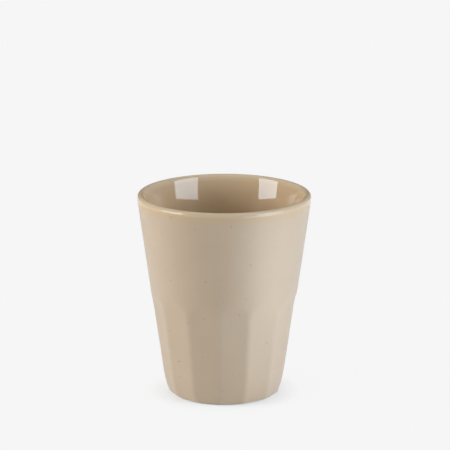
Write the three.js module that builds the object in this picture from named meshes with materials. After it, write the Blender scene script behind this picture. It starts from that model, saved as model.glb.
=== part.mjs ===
// Handleless porcelain mug: a tapered beaker with a round lip and flat facets round its lower half.
// A fired body carries three coats of glaze: gloss inside and over the lip, matt outside, gloss under the base.
// Millimetres, +Z up. The origin is the middle of the foot ring on the table, and the front is -Y.
import * as THREE from 'three';

const { degToRad, clamp, smoothstep } = THREE.MathUtils;

// Driving dimensions of the finished, glazed mug
const HEIGHT = 100;
const RIM_DIAMETER = 85;
const WALL_TAPER = degToRad(8);
const WALL = 5.6;
const LIP_RELIEF = 2; // how much thinner the lip is than the wall
const FLARE_RADIUS = 51; // curve that opens the inner wall towards the lip
const FLOOR = 5;
const INNER_CORNER_RADIUS = 10;
const GLAZE = 0.4;
const GLAZE_LINE_DROP = 0.2; // from the lip's round down to the edge of the gloss glaze

// Facets: flats that run up the lower wall and fade out in rounded arches
const FACET_COUNT = 14;
const FACET_DEPTH = 0.9;
const FACET_TOP = 51.6;
const FACET_RUN_OUT = 8.6;
const RIDGE_RADIUS = 6;
const FIRST_RIDGE = degToRad(-4.9); // turn of one ridge from the front

// Underside: the wall curves in at the heel and rounds under the mug to a bare foot ring round a shallow recess
const HEEL_HEIGHT = 11; // where the wall starts to curve in
const HEEL_TURN = degToRad(12.5); // how far the heel leans in beyond the wall's taper
const BASE_CORNER_RADIUS = 2.5;
const FOOT_HEIGHT = 0.6;
const FOOT_WIDTH = 3;
const FOOT_CHAMFER = 0.4;
const RECESS_DEPTH = 2;
const RECESS_FILLET = 1;

// Fineness of the turned surfaces
const COLUMNS_PER_FACET = 4;
const LIP_STEPS = 4; // on each side of the lip's crest
const FLARE_STEPS = 3;
const CORNER_STEPS = 4;
const FILLET_STEPS = 2;
const HEEL_STEPS = 3;
const BASE_CORNER_STEPS = 6;
const RUN_OUT_STEPS = 6;

const FACET_ANGLE = (2 * Math.PI) / FACET_COUNT;
const COLUMNS = FACET_COUNT * COLUMNS_PER_FACET;
const COLUMN_ANGLE = (2 * Math.PI) / COLUMNS;
const UP = Math.PI / 2;
const DOWN = -UP;
const INWARD = Math.PI;

// A station is one point of a turned profile: its radius, its height, the direction its surface faces,
// measured from straight outwards towards straight up, and how deep the facets cut there.
const station = (r, z, facing, facetDepth = 0) => ({ r, z, facing, facetDepth });

// The point of the body that lies under a station of a glaze coat.
const underGlaze = ({ r, z, facing, facetDepth }) =>
  station(r && r - GLAZE * Math.cos(facing), z - GLAZE * Math.sin(facing), facing, facetDepth);

// Stations along an arc. On a hollow arc the surface faces the centre.
function arc(centre, radius, from, to, steps, hollow = false) {
  return Array.from({ length: steps + 1 }, (_, step) => {
    const angle = from + ((to - from) * step) / steps;
    const facing = hollow ? angle + Math.PI : angle;
    return station(centre.x + radius * Math.cos(angle), centre.y + radius * Math.sin(angle), facing);
  });
}

// Lip: a full round at the top of the wall
const LIP_RADIUS = (WALL - LIP_RELIEF) / 2;
const lipCentre = new THREE.Vector2(RIM_DIAMETER / 2 - LIP_RADIUS, HEIGHT - LIP_RADIUS);

// Outer wall: a cone that touches the lip's round
const LIP_EDGE_HEIGHT = lipCentre.y - LIP_RADIUS * Math.sin(WALL_TAPER);
const LIP_EDGE_RADIUS = lipCentre.x + LIP_RADIUS * Math.cos(WALL_TAPER);
const wallRadius = (z) => LIP_EDGE_RADIUS - (LIP_EDGE_HEIGHT - z) * Math.tan(WALL_TAPER);

// Edge where the gloss glaze of the lip meets the matt glaze of the wall
const GLAZE_LINE_HEIGHT = LIP_EDGE_HEIGHT - GLAZE_LINE_DROP;
const glazeLine = station(wallRadius(GLAZE_LINE_HEIGHT), GLAZE_LINE_HEIGHT, -WALL_TAPER);

// Depth of a facet at its middle: it starts as a curve at the facet's top and deepens down its run-out.
function facetDepthAt(z) {
  const runOut = clamp((FACET_TOP - z) / FACET_RUN_OUT, 0, 1);
  return FACET_DEPTH * (1 - (1 - runOut) ** 2);
}

// Radius of a round that the facets cut to the given depth, at an angle from the nearest ridge.
function facetedRadius(r, depth, fromRidge) {
  const halfFacet = FACET_ANGLE / 2;
  const apothem = r - depth;
  const ridgeCentre = (apothem - RIDGE_RADIUS) / Math.cos(halfFacet);
  const ridgeHalfWidth = RIDGE_RADIUS * Math.sin(halfFacet);
  const ridgeEdge = Math.atan2(ridgeHalfWidth, ridgeCentre + RIDGE_RADIUS * Math.cos(halfFacet));
  if (fromRidge > ridgeEdge) {
    return Math.min(r, apothem / Math.cos(halfFacet - fromRidge));
  }
  const ridgeRise = Math.sqrt(RIDGE_RADIUS ** 2 - (ridgeCentre * Math.sin(fromRidge)) ** 2);
  return Math.min(r, ridgeCentre * Math.cos(fromRidge) + ridgeRise);
}

// Heel: a slow curve that leaves the wall smoothly, then a tight corner that ends level at the foot
const HEEL_LEAN = WALL_TAPER + HEEL_TURN;
const BASE_CORNER_TOP = FOOT_HEIGHT + BASE_CORNER_RADIUS * (1 - Math.sin(HEEL_LEAN));
const HEEL_RADIUS = (HEEL_HEIGHT - BASE_CORNER_TOP) / (Math.sin(HEEL_LEAN) - Math.sin(WALL_TAPER));
const heelCentre = new THREE.Vector2(
  wallRadius(HEEL_HEIGHT) - HEEL_RADIUS * Math.cos(WALL_TAPER),
  HEEL_HEIGHT + HEEL_RADIUS * Math.sin(WALL_TAPER),
);
const baseCornerCentre = new THREE.Vector2(
  heelCentre.x + (HEEL_RADIUS - BASE_CORNER_RADIUS) * Math.cos(HEEL_LEAN),
  FOOT_HEIGHT + BASE_CORNER_RADIUS,
);
const FOOT_RADIUS = baseCornerCentre.x;

// The facets fade away round the base corner, so the foot is round.
function heelStations() {
  const corner = arc(baseCornerCentre, BASE_CORNER_RADIUS, DOWN, -HEEL_LEAN, BASE_CORNER_STEPS);
  const heel = arc(heelCentre, HEEL_RADIUS, -HEEL_LEAN, -WALL_TAPER, HEEL_STEPS).slice(1);
  return [...corner, ...heel].map(({ r, z, facing }) => {
    const fade = smoothstep(facing, DOWN, -HEEL_LEAN);
    return station(r, z, facing, facetDepthAt(z) * fade);
  });
}

// Outside of the mug, from the foot up to the glaze line
function outsideProfile() {
  const stations = heelStations();
  for (let step = RUN_OUT_STEPS; step >= 0; step--) {
    const z = FACET_TOP - FACET_RUN_OUT * (step / RUN_OUT_STEPS);
    stations.push(station(wallRadius(z), z, -WALL_TAPER, facetDepthAt(z)));
  }
  stations.push(glazeLine);
  return stations;
}

// Inside of the mug, from the middle of the floor up the wall and over the lip to the glaze line
function insideProfile() {
  const floorHeight = RECESS_DEPTH + FLOOR;
  const cornerHeight = floorHeight + INNER_CORNER_RADIUS;
  const innerWallRadius = wallRadius(cornerHeight) - WALL / Math.cos(WALL_TAPER);
  const cornerCentre = new THREE.Vector2(
    innerWallRadius - INNER_CORNER_RADIUS / Math.cos(WALL_TAPER),
    cornerHeight,
  );
  // The flare touches the inner wall at one end and the lip's round at the other.
  const flareArm = FLARE_RADIUS - LIP_RADIUS;
  const flareTurn = Math.acos((flareArm - LIP_RELIEF) / flareArm);
  const lipStart = Math.PI - WALL_TAPER - flareTurn;
  const flareCentre = new THREE.Vector2(
    lipCentre.x - flareArm * Math.cos(lipStart),
    lipCentre.y - flareArm * Math.sin(lipStart),
  );
  return [
    station(0, floorHeight, UP),
    ...arc(cornerCentre, INNER_CORNER_RADIUS, DOWN, -WALL_TAPER, CORNER_STEPS, true),
    ...arc(flareCentre, FLARE_RADIUS, Math.PI - WALL_TAPER, lipStart, FLARE_STEPS),
    ...arc(lipCentre, LIP_RADIUS, lipStart, UP, LIP_STEPS).slice(1),
    ...arc(lipCentre, LIP_RADIUS, UP, -WALL_TAPER, LIP_STEPS).slice(1),
    glazeLine,
  ];
}

// Recess under the base, from its middle out to the edge of its glaze beside the foot ring
const FOOT_INNER_RADIUS = FOOT_RADIUS - FOOT_WIDTH;

function recessProfile() {
  const wall = FOOT_INNER_RADIUS - GLAZE;
  const filletCentre = new THREE.Vector2(wall - RECESS_FILLET, RECESS_DEPTH - RECESS_FILLET);
  return [
    station(0, RECESS_DEPTH, DOWN),
    ...arc(filletCentre, RECESS_FILLET, UP, 0, FILLET_STEPS, true),
    station(wall, FOOT_HEIGHT, INWARD),
  ];
}

// Bare foot ring, from its inner side round to its outer side
function footProfile() {
  return [
    station(FOOT_INNER_RADIUS, FOOT_CHAMFER, INWARD),
    station(FOOT_INNER_RADIUS + FOOT_CHAMFER, 0, DOWN),
    station(FOOT_RADIUS - FOOT_CHAMFER, 0, DOWN),
    station(FOOT_RADIUS, FOOT_CHAMFER, 0),
  ];
}

// One ring of points for a station, or a single point where it lies on the axis
function ringOfPoints({ r, z, facetDepth }) {
  if (r === 0) {
    return [new THREE.Vector3(0, 0, z)];
  }
  return Array.from({ length: COLUMNS }, (_, column) => {
    const pastRidge = (column % COLUMNS_PER_FACET) * COLUMN_ANGLE;
    const fromRidge = Math.min(pastRidge, FACET_ANGLE - pastRidge);
    const radius = facetedRadius(r, facetDepth, fromRidge);
    const angle = FIRST_RIDGE + column * COLUMN_ANGLE;
    return new THREE.Vector3(radius * Math.sin(angle), -radius * Math.cos(angle), z);
  });
}

// Closed solid from a profile that runs anticlockwise: out along the bottom, up the outside, down the inside.
// A profile that doesn't start and end on the axis closes on itself.
function revolve(profile) {
  const points = [];
  const rings = profile.map((each) => {
    const first = points.length;
    const ring = ringOfPoints(each);
    points.push(...ring);
    return (column) => first + (ring.length === 1 ? 0 : column % COLUMNS);
  });
  const triangles = [];
  const addTriangle = (a, b, c) => {
    if (a !== b && b !== c && c !== a) {
      triangles.push(a, b, c);
    }
  };
  rings.forEach((ring, row) => {
    const next = rings[(row + 1) % rings.length];
    for (let column = 0; column < COLUMNS; column++) {
      const corners = [ring(column), ring(column + 1), next(column + 1), next(column)];
      addQuad(points, corners, addTriangle);
    }
  });
  const geometry = new THREE.BufferGeometry().setFromPoints(points);
  geometry.setIndex(triangles);
  geometry.computeVertexNormals();
  return geometry;
}

// A quad is split along its shorter diagonal, so that two solids that share it also share its split.
function addQuad(points, [a, b, c, d], addTriangle) {
  const splitAtA = points[a].distanceTo(points[c]) <= points[b].distanceTo(points[d]);
  addTriangle(a, b, splitAtA ? c : d);
  addTriangle(splitAtA ? a : b, c, d);
}

const outside = outsideProfile();
const inside = insideProfile();
const recess = recessProfile();

const BARE_PORCELAIN = { color: 0xd8cbb6, roughness: 0.85, metalness: 0 };
const GLOSS_FINISH = { color: 0xb69e7c, roughness: 0.1, metalness: 0 };
const MATT_FINISH = { color: 0xac9a84, roughness: 0.5, metalness: 0 };

const mug = new THREE.Group();

function addPiece(name, profile, finish) {
  const piece = new THREE.Mesh(revolve(profile), new THREE.MeshStandardMaterial(finish));
  piece.name = name;
  mug.add(piece);
}

// Fired body: floor, wall and lip under the glaze, with the foot ring left bare
addPiece(
  'porcelain_body',
  [
    ...recess.map(underGlaze),
    ...footProfile(),
    station(FOOT_RADIUS, FOOT_HEIGHT, 0),
    ...outside.map(underGlaze),
    ...inside.slice(0, -1).map(underGlaze).reverse(),
  ],
  BARE_PORCELAIN,
);

// Gloss glaze that lines the inside and wraps over the lip
addPiece('inside_gloss_glaze', [...inside.map(underGlaze), ...inside.toReversed()], GLOSS_FINISH);

// Matt glaze on the outer wall, from the glaze line down to the foot
addPiece('outside_matt_glaze', [...outside, ...outside.map(underGlaze).reverse()], MATT_FINISH);

// Gloss glaze in the recess under the base
addPiece('base_gloss_glaze', [...recess, ...recess.map(underGlaze).reverse()], GLOSS_FINISH);

export default mug;
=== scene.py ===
# %% [markdown]
# # A porcelain mug without a handle
# The mug is one fired clay body under three coats of glaze: gloss inside and over the lip, satin with iron
# specks outside, and gloss again in the hollow under the base. Only the foot ring is bare clay.
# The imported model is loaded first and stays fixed. Everything below is built in its frame, in metres, with
# +Z up, the middle of the foot at the origin and the front of the mug towards -Y.

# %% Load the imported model
import math
from collections import namedtuple

import bpy
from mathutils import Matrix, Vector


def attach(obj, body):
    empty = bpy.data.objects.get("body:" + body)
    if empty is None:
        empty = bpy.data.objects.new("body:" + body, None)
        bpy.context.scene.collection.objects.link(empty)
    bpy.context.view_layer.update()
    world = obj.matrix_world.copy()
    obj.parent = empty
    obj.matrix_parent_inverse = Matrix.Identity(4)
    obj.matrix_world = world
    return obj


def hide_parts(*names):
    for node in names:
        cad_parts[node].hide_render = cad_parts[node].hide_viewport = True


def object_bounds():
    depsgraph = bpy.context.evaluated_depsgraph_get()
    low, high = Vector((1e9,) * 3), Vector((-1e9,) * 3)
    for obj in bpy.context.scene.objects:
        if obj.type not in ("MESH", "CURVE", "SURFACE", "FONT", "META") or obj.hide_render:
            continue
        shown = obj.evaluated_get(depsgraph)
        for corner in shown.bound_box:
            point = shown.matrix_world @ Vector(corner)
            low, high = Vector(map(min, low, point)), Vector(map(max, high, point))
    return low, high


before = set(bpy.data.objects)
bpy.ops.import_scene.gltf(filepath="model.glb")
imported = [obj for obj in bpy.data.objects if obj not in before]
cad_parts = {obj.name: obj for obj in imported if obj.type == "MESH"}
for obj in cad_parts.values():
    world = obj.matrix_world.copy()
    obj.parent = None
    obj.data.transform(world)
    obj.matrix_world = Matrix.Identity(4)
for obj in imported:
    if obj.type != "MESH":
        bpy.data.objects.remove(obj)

cad_low, cad_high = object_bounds()
print("packed model from", tuple(cad_low), "to", tuple(cad_high))

# %% [markdown]
# ## The turned shape
# A mug like this is pressed between an outer mould and a spinning inner template, so a single outline
# describes it: the points of that outline are turned round the axis. The outline could be drawn by hand as a
# curve, but arcs and straight lines worked out from a few sizes keep the lip, the wall and the foot exactly
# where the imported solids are.
# A station is one point of the outline: its radius, its height, the way its surface faces (an angle from
# straight outwards towards straight up) and how deep the facets cut there. A large negative cut keeps a
# station round.

# %% Sizes of the finished mug
MM = 0.001
HEIGHT = cad_high.z
RIM_RADIUS = cad_high.x
WALL_TAPER = math.radians(8)
WALL = 5.6 * MM
LIP_RADIUS = 1.8 * MM
FLARE_RADIUS = 51 * MM
GLAZE = 0.4 * MM
GLAZE_LINE_DROP = 0.2 * MM
UP, DOWN, INWARD = math.pi / 2, -math.pi / 2, math.pi
NO_CUT = -1 * MM

lip_centre = (RIM_RADIUS - LIP_RADIUS, HEIGHT - LIP_RADIUS)
lip_edge_height = lip_centre[1] - LIP_RADIUS * math.sin(WALL_TAPER)
lip_edge_radius = lip_centre[0] + LIP_RADIUS * math.cos(WALL_TAPER)
print(f"lip {2000 * RIM_RADIUS:.1f} mm across, {1000 * HEIGHT:.1f} mm above the table")

# %% Stations and arcs
Station = namedtuple("Station", "r z facing cut")


def wall_radius(z):
    """Radius of the outer wall's cone at a height."""
    return lip_edge_radius - (lip_edge_height - z) * math.tan(WALL_TAPER)


def arc(centre, radius, start, end, steps, hollow=False):
    """Stations along an arc. On a hollow arc the surface faces the centre."""
    turns = [start + (end - start) * step / steps for step in range(steps + 1)]
    inward = math.pi if hollow else 0
    return [
        Station(centre[0] + radius * math.cos(a), centre[1] + radius * math.sin(a), a + inward, NO_CUT)
        for a in turns
    ]


def under_glaze(station):
    """The point of the clay below a station of a glaze coat."""
    inset = 0 if station.r == 0 else GLAZE * math.cos(station.facing)
    return station._replace(r=station.r - inset, z=station.z - GLAZE * math.sin(station.facing))


glaze_line_height = lip_edge_height - GLAZE_LINE_DROP
glaze_line = Station(wall_radius(glaze_line_height), glaze_line_height, -WALL_TAPER, NO_CUT)
print(f"gloss meets satin {1000 * (HEIGHT - glaze_line_height):.1f} mm below the top of the lip")

# %% [markdown]
# ## The outside: a cone, its facets and the curve under it
# The lower half of the wall is cut by flats that fade out upwards in rounded arches, as if a large round
# cutter had left the clay. So the depth of the cut starts at nothing at the arch's top and grows along a
# shallow curve. Below, the heel of the wall curves in slowly and then rounds a tight corner, where the
# facets fade away above the round foot.

# %% The outside outline
FACETS = 14
FACET_DEPTH = 0.9 * MM
FACET_TOP = 51.6 * MM
FACET_RUN_OUT = 8.6 * MM
ARCH_MARGIN = 2 * MM
HEEL_HEIGHT = 11 * MM
HEEL_LEAN = WALL_TAPER + math.radians(12.5)
BASE_CORNER_RADIUS = 2.5 * MM
FOOT_HEIGHT = 0.6 * MM
HEEL_STEPS = 12
BASE_CORNER_STEPS = 24
ARCH_STEPS = 42
PLAIN_STEPS = 8


def facet_cut(z):
    """Depth of a facet's middle at a height; above the arch's top it is negative, so nothing is cut."""
    run = min((FACET_TOP - z) / FACET_RUN_OUT, 1)
    return max(FACET_DEPTH * (1 - (1 - run) ** 2), NO_CUT)


def heel_stations():
    """Stations round the base corner, where the facets' cut fades in, and up the heel, without the last."""
    corner_top = FOOT_HEIGHT + BASE_CORNER_RADIUS * (1 - math.sin(HEEL_LEAN))
    heel_radius = (HEEL_HEIGHT - corner_top) / (math.sin(HEEL_LEAN) - math.sin(WALL_TAPER))
    heel_centre = (
        wall_radius(HEEL_HEIGHT) - heel_radius * math.cos(WALL_TAPER),
        HEEL_HEIGHT + heel_radius * math.sin(WALL_TAPER),
    )
    corner_centre = (
        heel_centre[0] + (heel_radius - BASE_CORNER_RADIUS) * math.cos(HEEL_LEAN),
        FOOT_HEIGHT + BASE_CORNER_RADIUS,
    )
    corner = arc(corner_centre, BASE_CORNER_RADIUS, DOWN, -HEEL_LEAN, BASE_CORNER_STEPS)
    heel = arc(heel_centre, heel_radius, -HEEL_LEAN, -WALL_TAPER, HEEL_STEPS)
    for station in corner + heel[1:-1]:
        x = min((station.facing - DOWN) / (UP - HEEL_LEAN), 1)
        yield station._replace(cut=facet_cut(station.z) * x * x * (3 - 2 * x))


def wall_stations(low, high, steps):
    """Stations up the wall between two heights, without the last."""
    heights = [low + (high - low) * step / steps for step in range(steps)]
    return [Station(wall_radius(z), z, -WALL_TAPER, facet_cut(z)) for z in heights]


arch_foot = FACET_TOP - FACET_RUN_OUT
arch_head = FACET_TOP + ARCH_MARGIN
outside = list(heel_stations())
outside += wall_stations(HEEL_HEIGHT, arch_foot, PLAIN_STEPS)
outside += wall_stations(arch_foot, arch_head, ARCH_STEPS)
outside += wall_stations(arch_head, glaze_line_height, PLAIN_STEPS)
outside.append(glaze_line)
FOOT_RADIUS = outside[0].r
print(f"{len(outside)} stations outside, foot {2000 * FOOT_RADIUS:.1f} mm across")

# %% [markdown]
# ## The inside, the lip and the underside
# The inner wall runs parallel to the outer one and opens a little towards the lip, which is thinner than the
# wall and fully rounded. That flare decides how much of the room the inside mirrors, so it was measured from
# the reflections in the photograph. The floor, the hollow under it and the foot ring are made as such mugs
# usually are: a soft inner corner, a ring wiped bare of glaze, and a glazed hollow inside it.

# %% The inside outline
FLOOR_THICKNESS = 5 * MM
INNER_CORNER_RADIUS = 10 * MM
RECESS_DEPTH = 2 * MM
LIP_STEPS = 24
FLARE_STEPS = 20
CORNER_STEPS = 24

floor_height = RECESS_DEPTH + FLOOR_THICKNESS
corner_height = floor_height + INNER_CORNER_RADIUS
inner_wall = wall_radius(corner_height) - WALL / math.cos(WALL_TAPER)
corner_centre = (inner_wall - INNER_CORNER_RADIUS / math.cos(WALL_TAPER), corner_height)
flare_arm = FLARE_RADIUS - LIP_RADIUS
lip_relief = WALL - 2 * LIP_RADIUS
lip_start = INWARD - WALL_TAPER - math.acos((flare_arm - lip_relief) / flare_arm)
flare_centre = (
    lip_centre[0] - flare_arm * math.cos(lip_start),
    lip_centre[1] - flare_arm * math.sin(lip_start),
)
inside = [Station(0, floor_height, UP, NO_CUT)]
inside += arc(corner_centre, INNER_CORNER_RADIUS, DOWN, -WALL_TAPER, CORNER_STEPS, hollow=True)
inside += arc(flare_centre, FLARE_RADIUS, INWARD - WALL_TAPER, lip_start, FLARE_STEPS)
inside += arc(lip_centre, LIP_RADIUS, lip_start, UP, LIP_STEPS)[1:]
inside += arc(lip_centre, LIP_RADIUS, UP, -WALL_TAPER, LIP_STEPS)[1:]
inside.append(glaze_line)
print(f"{len(inside)} stations from the floor over the lip to the glaze line")

# %% The underside outlines
RECESS_FILLET = 1 * MM
FOOT_WIDTH = 3 * MM
FOOT_EASE = 0.4 * MM
FILLET_STEPS = 10
EASE_STEPS = 6

foot_inside = FOOT_RADIUS - FOOT_WIDTH
recess_wall = foot_inside - GLAZE
fillet_centre = (recess_wall - RECESS_FILLET, RECESS_DEPTH - RECESS_FILLET)
recess = [Station(0, RECESS_DEPTH, DOWN, NO_CUT)]
recess += arc(fillet_centre, RECESS_FILLET, UP, 0, FILLET_STEPS, hollow=True)
recess.append(Station(recess_wall, FOOT_HEIGHT, INWARD, NO_CUT))

foot = arc((foot_inside + FOOT_EASE, FOOT_EASE), FOOT_EASE, -INWARD, DOWN, EASE_STEPS)
foot += arc((FOOT_RADIUS - FOOT_EASE, FOOT_EASE), FOOT_EASE, DOWN, 0, EASE_STEPS)
foot.append(Station(FOOT_RADIUS, FOOT_HEIGHT, 0, NO_CUT))
print(f"{len(recess)} stations in the recess, {len(foot)} on the foot ring")

# %% [markdown]
# ## Node trees written as expressions
# Geometry Nodes and shader nodes both do their sums with Math nodes. Placing each by hand hides the formula,
# so a wire stands for one socket and takes part in ordinary Python sums: every operator adds the Math node
# that it means. All other nodes come from one method, which sets a node's own settings first and then fills
# or links its sockets.

# %% Wires and sheets
class Wire:
    """One output socket that can be used in a sum."""

    def __init__(self, sheet, socket):
        self.sheet = sheet
        self.socket = socket

    def __getitem__(self, name):
        """Another output of the same node."""
        return Wire(self.sheet, self.socket.node.outputs[name])

    def __add__(self, other):
        return self.sheet.math("ADD", self, other)

    def __sub__(self, other):
        return self.sheet.math("SUBTRACT", self, other)

    def __rsub__(self, other):
        return self.sheet.math("SUBTRACT", other, self)

    def __mul__(self, other):
        return self.sheet.math("MULTIPLY", self, other)

    def __truediv__(self, other):
        return self.sheet.math("DIVIDE", self, other)

    def __rtruediv__(self, other):
        return self.sheet.math("DIVIDE", other, self)

    def __gt__(self, other):
        return self.sheet.math("GREATER_THAN", self, other)

    __radd__ = __add__
    __rmul__ = __mul__


class Sheet:
    """A node tree that is drawn by calls."""

    def __init__(self, tree):
        self.tree = tree

    def node(self, kind, settings=None, sockets=None):
        """Adds a node and returns a wire from its first output."""
        made = self.tree.nodes.new(kind)
        for name, value in (settings or {}).items():
            setattr(made, name, value)
        for name, value in (sockets or {}).items():
            if isinstance(value, Wire):
                self.tree.links.new(value.socket, made.inputs[name])
            else:
                made.inputs[name].default_value = value
        return Wire(self, made.outputs[0]) if made.outputs else made

    def math(self, operation, *values, clamp=False):
        """Adds a Math node; clamped, its result stays between 0 and 1."""
        settings = {"operation": operation, "use_clamp": clamp}
        return self.node("ShaderNodeMath", settings, dict(enumerate(values)))


print("wires and sheets are ready")

# %% [markdown]
# ## Turning an outline in Geometry Nodes
# The whole mug follows one rule, and the facets are part of it. A Spin in mesh code could turn an outline,
# but it could not cut the facets, so a tree does both. It lays out a grid with one row for each station and
# one column for each step round the axis, and looks up the station of each row.

# %% The turning tree
turning = bpy.data.node_groups.new("turned piece with facets", "GeometryNodeTree")
TURNING_INPUTS = {
    "Outline": "NodeSocketGeometry",
    "Columns": "NodeSocketInt",
    "Facets": "NodeSocketInt",
    "First Ridge": "NodeSocketFloat",
    "Ridge Radius": "NodeSocketFloat",
    "Arch Softness": "NodeSocketFloat",
    "Finish": "NodeSocketMaterial",
}
turning_sockets = {
    name: turning.interface.new_socket(name, in_out="INPUT", socket_type=kind).identifier
    for name, kind in TURNING_INPUTS.items()
}
turning.interface.new_socket("Piece", in_out="OUTPUT", socket_type="NodeSocketGeometry")

sheet = Sheet(turning)
given = sheet.node("NodeGroupInput")
outline, columns, facets = given["Outline"], given["Columns"], given["Facets"]
stations = sheet.node("GeometryNodeAttributeDomainSize", {"component": "MESH"}, {"Geometry": outline})
grid = sheet.node(
    "GeometryNodeMeshGrid", {}, {"Vertices X": stations["Point Count"], "Vertices Y": columns + 1}
)
index = sheet.node("GeometryNodeInputIndex")
row = sheet.math("FLOOR", (index + 0.5) / (columns + 1))
column = index - row * (columns + 1)


def look_up(kind, value):
    """The station's own value, for each point of the grid."""
    settings = {"data_type": kind, "domain": "POINT"}
    return sheet.node(
        "GeometryNodeSampleIndex", settings, {"Geometry": outline, "Value": value, "Index": row}
    )


spot = look_up("FLOAT_VECTOR", sheet.node("GeometryNodeInputPosition"))
place = sheet.node("ShaderNodeSeparateXYZ", {}, {"Vector": spot})
cut_depth = sheet.node("GeometryNodeInputNamedAttribute", {"data_type": "FLOAT"}, {"Name": "cut"})
round_radius, height = place["X"], place["Z"]
apothem = round_radius - look_up("FLOAT", cut_depth)
print(f"{len(turning_sockets)} inputs on the turning tree")

# %% [markdown]
# ## The facets' rule
# Seen from above, a facet is one side of a fourteen-sided prism, and two sides meet in a ridge that the
# glaze has rounded. Each grid point takes the smaller of its round radius and the prism's. Cutting with a
# real prism would leave a hard line round every arch. A smooth minimum blends the two, as thick glaze does.

# %% Radius and place of each point
half_facet = math.pi / facets
turn = column * (2 * math.pi / columns)
from_ridge = sheet.math("PINGPONG", turn, half_facet)
ridge_radius = given["Ridge Radius"]
cos_half = sheet.math("COSINE", half_facet)
ridge_centre = (apothem - ridge_radius) / cos_half
across = ridge_centre * sheet.math("SINE", from_ridge)
rise = sheet.math("MAXIMUM", ridge_radius * ridge_radius - across * across, 0)
ridge = ridge_centre * sheet.math("COSINE", from_ridge) + sheet.math("SQRT", rise)
flat = apothem / sheet.math("COSINE", half_facet - from_ridge)
ridge_reach = ridge_radius * sheet.math("SINE", half_facet)
ridge_edge = sheet.math("ARCTAN2", ridge_reach, ridge_centre + ridge_radius * cos_half)
prism = ridge + (flat - ridge) * (from_ridge > ridge_edge)
radius = sheet.math("SMOOTH_MIN", round_radius, prism, given["Arch Softness"])

angle = given["First Ridge"] + turn
moved = sheet.node(
    "ShaderNodeCombineXYZ",
    {},
    {
        "X": radius * sheet.math("SINE", angle),
        "Y": 0 - radius * sheet.math("COSINE", angle),
        "Z": height,
    },
)
print(f"{len(turning.nodes)} nodes place the points")

# %% [markdown]
# ## Closing the mesh
# The first and the last column of the grid lie on each other, and so do all points of a station on the axis.
# They could be welded piece by piece, but the tree merges them by distance for every piece. A grid turned
# this way round faces inwards, so its faces are flipped. The last nodes make the result real and give it its
# finish.

# %% Closing the turned mesh
SEAM_GAP = 0.001 * MM

turned = sheet.node("GeometryNodeSetPosition", {}, {"Geometry": grid, "Position": moved})
closed = sheet.node("GeometryNodeMergeByDistance", {}, {"Geometry": turned, "Distance": SEAM_GAP})
outward = sheet.node("GeometryNodeFlipFaces", {}, {"Mesh": closed})
smooth = sheet.node("GeometryNodeSetShadeSmooth", {}, {"Geometry": outward})
real = sheet.node("GeometryNodeRealizeInstances", {}, {"Geometry": smooth})
finished = sheet.node("GeometryNodeSetMaterial", {}, {"Geometry": real, "Material": given["Finish"]})
sheet.node("NodeGroupOutput", {}, {"Piece": finished})
print(f"{len(turning.nodes)} nodes turn and facet an outline")

# %% [markdown]
# ## Materials as sheets
# A material is a node tree too, so its nodes are drawn by the same calls. Colours are written as the values
# that a screen shows, because those can be read off a photograph. A shader needs linear light, so they are
# converted once, where they are named.

# %% Materials as sheets
def new_material(name):
    """A material with an empty sheet, that sheet and its object coordinates."""
    material = bpy.data.materials.new(name)
    material.use_nodes = True
    material.node_tree.nodes.clear()
    paper = Sheet(material.node_tree)
    where = paper.node("ShaderNodeTexCoord")["Object"]
    return material, paper, where


def linear(red, green, blue):
    """A colour given as screen values from 0 to 255, as the shader needs it."""
    def open_up(value):
        part = value / 255
        return part / 12.92 if part <= 0.04045 else ((part + 0.055) / 1.055) ** 2.4

    return (open_up(red), open_up(green), open_up(blue), 1)


def blend_colour(paper, share, first, second):
    """The first colour, with a share of the second. A Mix node's colours are inputs 6 and 7, output 2."""
    mixed = paper.node("ShaderNodeMix", {"data_type": "RGBA"}, {"Factor": share, 6: first, 7: second})
    return Wire(paper, mixed.socket.node.outputs[2])


print("a mid grey of 128 is", round(linear(128, 128, 128)[0], 3), "in linear light")

# %% [markdown]
# ## Clouds of tone and iron specks
# Iron grains in the glaze melt into small brown dots. Dots painted from a picture would repeat and blur, so
# they come from a Voronoi pattern in space: each cell holds one grain, and the surface shows a dot wherever
# it passes close to one. Grains that the surface only just touches give smaller, fainter dots, as in a real
# glaze. Soft noise in space gives the drifts of tone between them.

# %% Clouds and specks
SMALLEST_GRAIN = 0.4
SPECK_EDGE = 2.5


def cloud(paper, where, size, detail=2.0):
    """Soft noise around 0, with lumps of about the given size."""
    sockets = {"Vector": where, "Scale": 1 / size, "Detail": detail}
    return paper.node("ShaderNodeTexNoise", {"noise_dimensions": "3D"}, sockets)["Fac"] - 0.5


def specks(paper, where, spacing, grain, shift):
    """A mask of round dots: one grain in each cell of the given spacing, of up to the given radius."""
    moved = paper.node("ShaderNodeVectorMath", {"operation": "ADD"}, {0: where, 1: (shift, shift, shift)})
    sockets = {"Vector": moved["Vector"], "Scale": 1 / spacing}
    cells = paper.node("ShaderNodeTexVoronoi", {"feature": "F1"}, sockets)
    luck = paper.node("ShaderNodeSeparateColor", {}, {"Color": cells["Color"]})["Red"]
    reach = (SMALLEST_GRAIN + (1 - SMALLEST_GRAIN) * luck) * (grain / spacing)
    return paper.math("MULTIPLY", (reach - cells["Distance"]) * (spacing / grain), SPECK_EDGE, clamp=True)


print(f"grains vary from {SMALLEST_GRAIN:.0%} of their full radius")

# %% [markdown]
# ## The satin glaze outside
# The outside feels like eggshell: the glaze is a warm beige, slightly uneven in tone and dotted with iron.
# Two sizes of specks are laid over each other, because one regular pattern would look printed.

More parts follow.
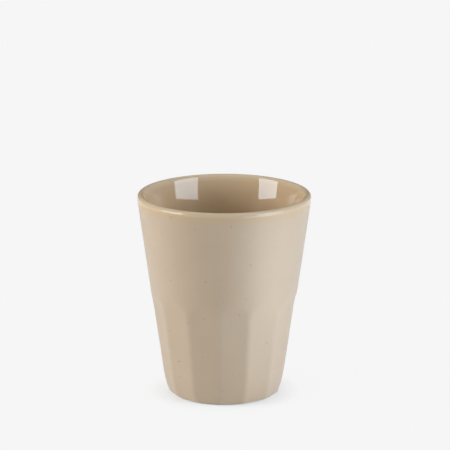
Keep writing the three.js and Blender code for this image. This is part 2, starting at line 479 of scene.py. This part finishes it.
# %% Satin colour
SATIN_BEIGE = linear(179, 155, 126)
SATIN_PALE = linear(187, 163, 135)
IRON_BROWN = linear(92, 70, 52)
TONE_CONTRAST, GRAIN_CONTRAST = 1.2, 0.5
FINE_STRENGTH, LARGE_STRENGTH = 0.5, 0.7

satin, paper, where = new_material("satin glaze with specks")
patches = 0.5 + cloud(paper, where, size=22 * MM) * TONE_CONTRAST
fine_grain = cloud(paper, where, size=1.1 * MM) * GRAIN_CONTRAST
tone = paper.math("ADD", patches, fine_grain, clamp=True)
beige = blend_colour(paper, tone, SATIN_BEIGE, SATIN_PALE)
fine_specks = specks(paper, where, spacing=4.2 * MM, grain=0.45 * MM, shift=0)
large_specks = specks(paper, where, spacing=11 * MM, grain=0.6 * MM, shift=3)
dots = paper.math("MAXIMUM", fine_specks * FINE_STRENGTH, large_specks * LARGE_STRENGTH)
print("satin colour has", len(satin.node_tree.nodes), "nodes")

# %% [markdown]
# ## The satin skin and the edge of the gloss
# A matt glaze is full of tiny crystals. They spread its gloss and add a pale sheen towards the mug's edges,
# and they make its skin a little uneven. Under the lip the gloss glaze was poured over the satin one and
# thins out in a soft, wavy edge: a smooth, yellower film that hardly mirrors. Its colour is also lightened
# as a painted reflection, in place of the mirror image it lacks. A second coat of mesh would end in a hard
# step there, so a smoother shader is mixed in by height instead.

# %% Satin skin
# The film's colour is partly its own yellower tone and partly a painted reflection that lightens it.
FILM_BEIGE_PAINTED_SHINE = linear(194, 167, 134)
SATIN_ROUGHNESS, ROUGHNESS_DRIFT = 0.55, 0.06
FILM_ROUGHNESS, FILM_MIRROR = 0.12, 0.05
SATIN_SHEEN, SHEEN_ROUGHNESS = 0.5, 0.5
GLAZE_IOR = 1.6
GLAZE_OVERLAP = 4.5 * MM
OVERLAP_WAVES, OVERLAP_SOFTNESS = 0.4, 0.3
SPECK_DENT = 0.4

skin = cloud(paper, where, size=0.9 * MM) - dots * SPECK_DENT
skin_bump = paper.node("ShaderNodeBump", {}, {"Strength": 0.25, "Distance": 0.05 * MM, "Height": skin})
height = paper.node("ShaderNodeSeparateXYZ", {}, {"Vector": where})["Z"]
waves = cloud(paper, where, size=5 * MM) * OVERLAP_WAVES
above = paper.math("MINIMUM", (height - glaze_line_height) / GLAZE_OVERLAP + 1 + waves, 1)
overlap = paper.math("SMOOTH_MAX", above, 0, OVERLAP_SOFTNESS, clamp=True)
# Near the lip the satin turns to the film colour, which carries a painted reflection.
speckled = blend_colour(paper, dots, blend_colour(paper, overlap, beige, FILM_BEIGE_PAINTED_SHINE), IRON_BROWN)
dry = paper.node(
    "ShaderNodeBsdfPrincipled",
    {},
    {
        "Base Color": speckled,
        "Roughness": SATIN_ROUGHNESS + cloud(paper, where, size=6 * MM) * ROUGHNESS_DRIFT,
        "IOR": GLAZE_IOR,
        "Normal": skin_bump,
        "Sheen Weight": SATIN_SHEEN,
        "Sheen Roughness": SHEEN_ROUGHNESS,
    },
)
film = paper.node(
    "ShaderNodeBsdfPrincipled",
    {},
    {
        "Base Color": speckled,
        "Roughness": FILM_ROUGHNESS,
        "IOR": GLAZE_IOR,
        "Specular IOR Level": FILM_MIRROR,
    },
)
surface = paper.node("ShaderNodeMixShader", {}, {0: overlap, 1: dry, 2: film})
paper.node("ShaderNodeOutputMaterial", {}, {"Surface": surface})
print("satin glaze has", len(satin.node_tree.nodes), "nodes")

# %% [markdown]
# ## The gloss glaze inside
# Inside and over the lip the beige lies under a clear, wet-looking glaze, so it looks deeper and mirrors the
# lights. Towards the crest of the lip the colour turns paler: partly thinner glaze, which runs off a sharp
# curve, and partly painted light that the crest catches. The glaze also settles a little unevenly, so long,
# very low waves bend the mirror images.

# %% Gloss glaze
GLOSS_TAN = linear(196, 168, 134)
GLOSS_DEEP = linear(188, 160, 126)
GLOSS_CREST_THIN_AND_LIT = linear(204, 182, 152)
PALE_CREST_REACH = 3 * MM
GLOSS_ROUGHNESS, SPECK_ROUGHNESS = 0.015, 0.1
GLOSS_SPECK_STRENGTH = 0.7


def finish_material(paper, sockets):
    """Wires a Principled shader to the output."""
    shader = paper.node("ShaderNodeBsdfPrincipled", {}, sockets)
    paper.node("ShaderNodeOutputMaterial", {}, {"Surface": shader})


gloss, paper, where = new_material("gloss glaze")
tone = paper.math("ADD", 0.5, cloud(paper, where, size=18 * MM) * TONE_CONTRAST, clamp=True)
height = paper.node("ShaderNodeSeparateXYZ", {}, {"Vector": where})["Z"]
# Paler over the top 3 mm up to the crest: partly thinner glaze, partly painted light on the crest.
crest_thin_and_lit = paper.math("ADD", (height - HEIGHT) / PALE_CREST_REACH, 1, clamp=True)
tan = blend_colour(paper, crest_thin_and_lit, blend_colour(paper, tone, GLOSS_TAN, GLOSS_DEEP), GLOSS_CREST_THIN_AND_LIT)
dots = specks(paper, where, spacing=6 * MM, grain=0.3 * MM, shift=7)
swell = cloud(paper, where, size=9 * MM, detail=0.0)
swell_bump = paper.node("ShaderNodeBump", {}, {"Strength": 0.03, "Distance": 0.1 * MM, "Height": swell})
finish_material(
    paper,
    {
        "Base Color": blend_colour(paper, dots * GLOSS_SPECK_STRENGTH, tan, IRON_BROWN),
        "Roughness": GLOSS_ROUGHNESS + dots * SPECK_ROUGHNESS,
        "IOR": GLAZE_IOR,
        "Normal": swell_bump,
    },
)
print("gloss glaze has", len(gloss.node_tree.nodes), "nodes")

# %% [markdown]
# ## The bare clay of the foot
# The ring that the mug stands on in the kiln is wiped clean of glaze, because glaze would weld it to the
# shelf. Fired porcelain clay is dry and a little sandy there, paler than the glaze, and shows its grain
# when it is seen close up. One fine noise gives the tone, the dryness and the relief of that grain.

# %% Bare clay
CLAY_CREAM = linear(214, 200, 176)
CLAY_SAND = linear(194, 177, 150)
CLAY_ROUGHNESS, SAND_ROUGHNESS = 0.8, 0.12
SAND_CONTRAST = 1.5

clay, paper, where = new_material("bare porcelain clay")
grain = paper.math("ADD", 0.5, cloud(paper, where, size=0.5 * MM) * SAND_CONTRAST, clamp=True)
cream = blend_colour(paper, grain, CLAY_CREAM, CLAY_SAND)
dots = specks(paper, where, spacing=3.4 * MM, grain=0.3 * MM, shift=11)
sand = paper.node("ShaderNodeBump", {}, {"Strength": 0.5, "Distance": 0.08 * MM, "Height": grain})
finish_material(
    paper,
    {
        "Base Color": blend_colour(paper, dots, cream, IRON_BROWN),
        "Roughness": CLAY_ROUGHNESS + grain * SAND_ROUGHNESS,
        "Normal": sand,
    },
)
print("bare clay has", len(clay.node_tree.nodes), "nodes")

# %% [markdown]
# ## Making the pieces
# Each piece is a closed shell: a glaze coat runs along the visible outline and back along the clay under it,
# and the body runs along the clay alone. The hidden side needs fewer stations, so it takes every fourth. The
# outline becomes a chain of points with the facet depth stored on each, the tree turns it, and the result is
# kept as a plain mesh.

# %% Turning one outline
COLUMNS_PER_FACET = 24
RIDGE_RADIUS = 6 * MM
ARCH_SOFTNESS = 0.6 * MM
FIRST_RIDGE = math.radians(-4.9)
CREASE = math.radians(35)


def turn_piece(name, outline, material):
    """Turns a closed outline into a finished mesh object."""
    mesh = bpy.data.meshes.new(name)
    links = [(first, first + 1) for first in range(len(outline) - 1)]
    mesh.from_pydata([(each.r, 0, each.z) for each in outline], links, [])
    cuts = mesh.attributes.new("cut", "FLOAT", "POINT")
    cuts.data.foreach_set("value", [each.cut for each in outline])
    piece = bpy.data.objects.new(name, mesh)
    bpy.context.scene.collection.objects.link(piece)
    tree = piece.modifiers.new("turning", "NODES")
    tree.node_group = turning
    tree[turning_sockets["Columns"]] = FACETS * COLUMNS_PER_FACET
    tree[turning_sockets["Facets"]] = FACETS
    tree[turning_sockets["First Ridge"]] = FIRST_RIDGE
    tree[turning_sockets["Ridge Radius"]] = RIDGE_RADIUS
    tree[turning_sockets["Arch Softness"]] = ARCH_SOFTNESS
    tree[turning_sockets["Finish"]] = material
    ready = piece.evaluated_get(bpy.context.evaluated_depsgraph_get())
    piece.data = bpy.data.meshes.new_from_object(ready)
    piece.modifiers.clear()
    piece.data.set_sharp_from_angle(angle=CREASE)
    print(f"{name}: {len(piece.data.vertices)} points, {len(piece.data.polygons)} faces")
    return piece


print(f"{FACETS * COLUMNS_PER_FACET} columns round each piece")

# %% The four pieces
HIDDEN_STEP = 4


def hidden_side(outline):
    """The clay under a coat, with fewer stations than the coat."""
    kept = outline[:-1:HIDDEN_STEP] + outline[-1:]
    return [under_glaze(station) for station in kept]


clay_outside, clay_inside, clay_recess = hidden_side(outside), hidden_side(inside), hidden_side(recess)
outside_coat = turn_piece("outside_coat", outside + clay_outside[::-1] + outside[:1], satin)
inside_lining = turn_piece("inside_lining", clay_inside + inside[::-1], gloss)
base_coat = turn_piece("base_coat", recess + clay_recess[::-1], gloss)
fired_body = turn_piece("fired_body", clay_recess + foot + clay_outside + clay_inside[-2::-1], clay)

# %% [markdown]
# ## Handing the pieces to the frame
# Every piece rides on the mug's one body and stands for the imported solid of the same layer, which stays in
# the model for collision but isn't drawn any more.

# %% Ride on the body
for piece, node, slot in (
    (outside_coat, "outside_matt_glaze", "matt_glaze"),
    (inside_lining, "inside_gloss_glaze", "gloss_glaze"),
    (base_coat, "base_gloss_glaze", "gloss_glaze"),
    (fired_body, "porcelain_body", "bare_porcelain"),
):
    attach(piece, "root")
    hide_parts(node)
    print(piece.name, "stands for", node)

# %% [markdown]
# ## The floor
# The mug stands on a pale sheet of paper. What the camera and mirror images see of it is an even pale grey.
# Part of the truly lit paper is mixed in near the mug, a little for its soft shadow and more in a narrow
# band round the foot for the dark line of contact. All other light treats the floor as white paper.
# A leaning wall mirrors the table, not the lamps. The satin is pale on the right because a bright, cool pool
# of
# light is painted on the paper there: a glowing patch, not lamplight, that only mirror images see.

# %% Pale floor
PAPER_REACH = 4.0
PAPER_DROP = 0.1 * MM

paper_mesh = bpy.data.meshes.new("pale_floor")
edge, low = PAPER_REACH, -PAPER_DROP
corners = [(-edge, -edge, low), (edge, -edge, low), (edge, edge, low), (-edge, edge, low)]
paper_mesh.from_pydata(corners, [], [(0, 1, 2, 3)])
pale_floor = bpy.data.objects.new("pale_floor", paper_mesh)
bpy.context.scene.collection.objects.link(pale_floor)
print(f"floor reaches {PAPER_REACH} m each way")

# %% Pale paper
PALE = linear(246, 246, 246)
SHADOW_SHARE, SHADOW_FADE = 0.03, 0.2
CONTACT_SHARE, CONTACT_FADE = 0.4, 0.012

pale_paper, paper, where = new_material("pale paper")
light_path = paper.node("ShaderNodeLightPath")
seen = paper.math("MAXIMUM", light_path["Is Camera Ray"], light_path["Is Glossy Ray"])
seen = paper.math("MAXIMUM", seen, light_path["Is Transmission Ray"])
distance = paper.node("ShaderNodeVectorMath", {"operation": "LENGTH"}, {0: where})["Value"]
near = paper.math("SUBTRACT", 1, distance / SHADOW_FADE, clamp=True)
contact = paper.math("SUBTRACT", 1, (distance - FOOT_RADIUS) / CONTACT_FADE, clamp=True)
share = seen * (1 - near * SHADOW_SHARE - contact * CONTACT_SHARE)
lit_paper = paper.node("ShaderNodeBsdfDiffuse", {}, {"Color": PALE})
even_paper = paper.node("ShaderNodeEmission", {}, {"Color": PALE, "Strength": 1.0})
print("pale paper has", len(pale_paper.node_tree.nodes), "nodes before its pool of light")

# %% Painted pool of light on the paper
POOL_WHITE = (0.8, 0.95, 1.15, 1)
POOL_GLOW = 9.0
POOL_REACH = 0.155


def beside_camera(degrees, away):
    """Where something stands, by its angle to the camera's right and its distance from the mug."""
    turn = math.radians(degrees)
    return away * math.sin(turn), -away * math.cos(turn)


# A painted pool of light: a glowing patch on the paper, seen only by mirror images, paints a sheen on the
# satin's right side.
pool_centre = (*beside_camera(57, 0.19), 0)
to_pool = paper.node("ShaderNodeVectorMath", {"operation": "DISTANCE"}, {0: where, 1: pool_centre})["Value"]
pool = paper.math("SUBTRACT", 1, to_pool / POOL_REACH, clamp=True) * light_path["Is Glossy Ray"]
painted_pool_glow = paper.node("ShaderNodeEmission", {}, {"Color": POOL_WHITE, "Strength": POOL_GLOW})
mirrored_paper = paper.node("ShaderNodeMixShader", {}, {0: pool, 1: even_paper, 2: painted_pool_glow})
mixed = paper.node("ShaderNodeMixShader", {}, {0: share, 1: lit_paper, 2: mirrored_paper})
paper.node("ShaderNodeOutputMaterial", {}, {"Surface": mixed})
paper_mesh.materials.append(pale_paper)
print("pale paper has", len(pale_paper.node_tree.nodes), "nodes")

# %% [markdown]
# ## The room's own light
# The room round the mug is nearly dark, or the inside would mirror a bright wall between the lights. A
# trace of even light from the world keeps the deepest shadows from going black.

# %% World light
WORLD_LIGHT = 0.05

world = bpy.data.worlds.new("studio")
bpy.context.scene.world = world
world.use_nodes = True
world.node_tree.nodes.clear()
sky = Sheet(world.node_tree)
air = sky.node("ShaderNodeBackground", {}, {"Color": (1, 1, 1, 1), "Strength": WORLD_LIGHT})
sky.node("ShaderNodeOutputWorld", {}, {"Surface": air})
print("even world light of", WORLD_LIGHT)

# %% [markdown]
# ## Two softboxes
# The photograph's mirror images inside the lip show two upright softboxes, one on each side of the camera,
# and a dark room between them. Area lamps of that size and direction give the same images. Their white is a
# little cooler than the camera's, as daylight lamps often are.

# %% Softboxes
SOFTBOX_LOW, SOFTBOX_HIGH = 0.14, 0.74
DAYLIGHT_WHITE = (0.88, 1.0, 1.12)


def softbox(name, first_edge, last_edge, glow):
    """An upright area lamp whose face glows between two edges, each given by its angle and its distance."""
    (x1, y1), (x2, y2) = beside_camera(*first_edge), beside_camera(*last_edge)
    width, tall = math.hypot(x2 - x1, y2 - y1), SOFTBOX_HIGH - SOFTBOX_LOW
    lamp = bpy.data.lights.new(name, "AREA")
    lamp.shape = "RECTANGLE"
    lamp.size, lamp.size_y = width, tall
    lamp.color = DAYLIGHT_WHITE
    lamp.energy = glow * math.pi * width * tall
    stand = bpy.data.objects.new(name, lamp)
    stand.location = ((x1 + x2) / 2, (y1 + y2) / 2, (SOFTBOX_LOW + SOFTBOX_HIGH) / 2)
    stand.rotation_euler = (math.pi / 2, 0, math.atan2(y2 - y1, x2 - x1))
    stand.visible_camera = False
    bpy.context.scene.collection.objects.link(stand)
    print(f"{name}: {lamp.energy:.1f} W")


softbox("right_softbox", (43, 0.75), (82, 1.4), glow=4.5)
softbox("left_softbox", (-89, 1.4), (-57, 0.75), glow=5.5)

# %% [markdown]
# ## Fill lights
# The sides of the mug are brighter than the softboxes alone would make them: pale walls and reflectors
# beside the table send light back, cool on the right and warm on the left. Bigger softboxes would change
# the mirror images, so square lamps that no mirror image shows fill the sides, the back and the top.

# %% Fill lights
FILL_DISTANCE = 0.9
FILL_SIZE = 0.5
COOL_WHITE = (0.86, 1.0, 1.25)
WARM_WHITE = (1.05, 1.01, 0.95)


def fill_light(name, degrees, degrees_up, glow, tint):
    """A square area lamp at an angle to the camera's right and an angle above the mug's middle."""
    elevation = math.radians(degrees_up)
    lamp = bpy.data.lights.new(name, "AREA")
    lamp.size = FILL_SIZE
    lamp.color = tint
    lamp.energy = glow * math.pi * FILL_SIZE**2
    stand = bpy.data.objects.new(name, lamp)
    x, y = beside_camera(degrees, FILL_DISTANCE * math.cos(elevation))
    stand.location = (x, y, HEIGHT / 2 + FILL_DISTANCE * math.sin(elevation))
    stand.rotation_euler = (math.pi / 2 - elevation, 0, math.radians(degrees))
    stand.visible_camera = False
    stand.visible_glossy = False
    bpy.context.scene.collection.objects.link(stand)
    print(f"{name}: {lamp.energy:.1f} W")


fill_light("right_side_light", 76, 4, glow=7.2, tint=COOL_WHITE)
fill_light("left_side_light", -82, 22, glow=4.6, tint=WARM_WHITE)
fill_light("back_light", 180, 35, glow=2.0, tint=WARM_WHITE)
fill_light("top_light", 0, 88, glow=2.4, tint=WARM_WHITE)

# %% [markdown]
# ## Camera
# The camera stands a metre and a half away, a little above the mug. Its height and distance come from the
# lip's ellipse and from the lean of the mug's sides in the photograph. The mug sits low in that picture, so
# the camera is tilted up.

# %% Camera at the photograph's angle
PHOTO_SIDE_PX = 450
MUG_MIDDLE_PX = (224.17, 292.03)
PX_PER_METRE = 2036.6
CAMERA_DISTANCE = 1.5
CAMERA_ELEVATION = math.radians(15.53)
SENSOR = 36.0

focal_px = PX_PER_METRE * CAMERA_DISTANCE
tilt = math.atan((MUG_MIDDLE_PX[1] - PHOTO_SIDE_PX / 2) / focal_px)
pan = math.atan((MUG_MIDDLE_PX[0] - PHOTO_SIDE_PX / 2) / focal_px)
lens = bpy.data.cameras.new("photo_camera")
lens.sensor_width = SENSOR
lens.lens = SENSOR * focal_px / PHOTO_SIDE_PX
camera = bpy.data.objects.new("photo_camera", lens)
camera.location = (
    0,
    -CAMERA_DISTANCE * math.cos(CAMERA_ELEVATION),
    HEIGHT / 2 + CAMERA_DISTANCE * math.sin(CAMERA_ELEVATION),
)
camera.rotation_euler = (math.pi / 2 - CAMERA_ELEVATION + tilt, 0, pan)
bpy.context.scene.collection.objects.link(camera)
bpy.context.scene.camera = camera
bpy.context.scene.view_settings.view_transform = "Standard"
print(f"camera with a {lens.lens:.0f} mm lens")
